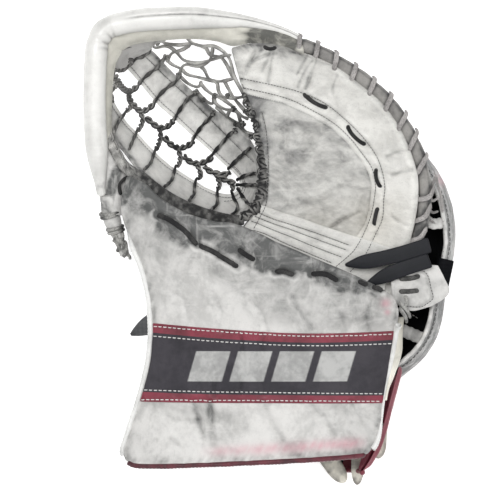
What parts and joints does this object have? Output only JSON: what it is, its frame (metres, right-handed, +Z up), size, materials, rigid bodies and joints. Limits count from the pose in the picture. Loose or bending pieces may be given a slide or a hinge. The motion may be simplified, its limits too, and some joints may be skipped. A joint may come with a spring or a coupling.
{
  "type": "goalie catch glove",
  "caption": "Ice hockey goalie catch glove lying palm up: laced T pocket with a padded rim, dished palm, broad thumb and cuff panel with stripes, finger stalls, back pad and wrist wrap.",
  "frame": {"origin": "centre of the bounding box, on the surface the glove lies on", "axes": "+X across the glove towards the little finger, +Y from the cuff to the top of the pocket, +Z up out of the pocket"},
  "size_m": [0.3217, 0.4064, 0.118],
  "materials": {
    "white_leather": "worn smooth grain",
    "worn_leather": "scuffed grain",
    "cream_leather": "worn smooth grain",
    "burgundy_leather": "semi-matt grain",
    "black_leather": "semi-matt grain",
    "dark_lace": "waxed braid",
    "grey_lace": "waxed braid, worn",
    "black_webbing": "woven",
    "black_mesh": "open knit",
    "white_piping": "smooth",
    "grey_foam": "matt foam",
    "liner_board": "matt"
  },
  "bodies": {
    "palm_hand": {"palm_panel": "white_leather", "palm_foam": "grey_foam", "break_binding": "white_leather", "heel_tab": "white_leather", "perimeter_roll": "worn_leather", "perimeter_lace": "grey_lace", "finger_back_shell": "white_leather", "index_stall": "black_mesh", "middle_stall": "black_mesh", "ring_stall": "black_mesh", "little_stall": "black_mesh", "side_wall": "white_leather", "side_wall_keeper": "black_webbing", "hand_liner": "black_mesh", "backhand_pad": "white_leather", "backhand_plate": "liner_board", "backhand_strap": "black_webbing", "opening_band_upper": "white_leather", "opening_band_lower": "white_leather"},
    "t_trap": {"rim_roll": "white_leather", "rim_gusset_thumb_side": "worn_leather", "rim_gusset_finger_side": "worn_leather", "t_leather": "worn_leather", "finger_side_net": "dark_lace", "window_net": "dark_lace", "thumb_side_lacing": "dark_lace", "thumb_tip_lacing": "grey_lace"},
    "thumb_cuff": {"cuff_leather": "white_leather", "cuff_board": "liner_board", "cuff_liner": "black_mesh", "stripe_lower": "burgundy_leather", "stripe_middle": "black_leather", "stripe_upper": "burgundy_leather", "piping_left": "white_piping", "piping_right": "white_piping", "piping_bottom": "burgundy_leather", "thumb_stall": "black_mesh", "thumb_back_shell": "white_leather", "wrist_wrap": "burgundy_leather", "wrap_liner": "black_mesh", "wrap_pull_tab_left": "cream_leather", "wrap_pull_tab_right": "cream_leather", "wrist_strap": "black_webbing"},
    "upper_strap_tail": {"palm_strap_tail_upper": "black_webbing"},
    "lower_strap_tail": {"palm_strap_tail_lower": "black_webbing"},
    "wrist_strap_tail": {"wrist_strap_tail": "black_webbing"}
  },
  "joints": [
    {"name": "trap_fold", "type": "hinge", "parent": "palm_hand", "child": "t_trap", "pos_m": [0.12, -0.062, 0.092], "axis": [-0.7199, 0.6862, -0.1041], "range_deg": [0, 20], "stiffness_Nm_per_rad": 3},
    {"name": "glove_break", "type": "hinge", "parent": "t_trap", "child": "thumb_cuff", "pos_m": [0.12, -0.062, 0.092], "axis": [-0.7199, 0.6862, -0.1041], "range_deg": [0, 20], "stiffness_Nm_per_rad": 3},
    {"name": "palm_strap_upper_peel", "type": "hinge", "parent": "palm_hand", "child": "upper_strap_tail", "pos_m": [0.137, 0.002, 0.084], "axis": [-0.2393, 0.9709, 0], "range_deg": [0, 100], "stiffness_Nm_per_rad": 0.03},
    {"name": "palm_strap_lower_peel", "type": "hinge", "parent": "palm_hand", "child": "lower_strap_tail", "pos_m": [0.138, -0.0125, 0.083], "axis": [-0.3216, 0.9469, 0], "range_deg": [0, 100], "stiffness_Nm_per_rad": 0.03},
    {"name": "wrist_strap_peel", "type": "hinge", "parent": "thumb_cuff", "child": "wrist_strap_tail", "pos_m": [-0.094, -0.062, 0.063], "axis": [-0.4671, 0.8842, 0], "range_deg": [-60, 0], "stiffness_Nm_per_rad": 0.02}
  ],
  "couplings": [
    {"joint": "glove_break", "follows": "trap_fold", "ratio": 1}
  ]
}
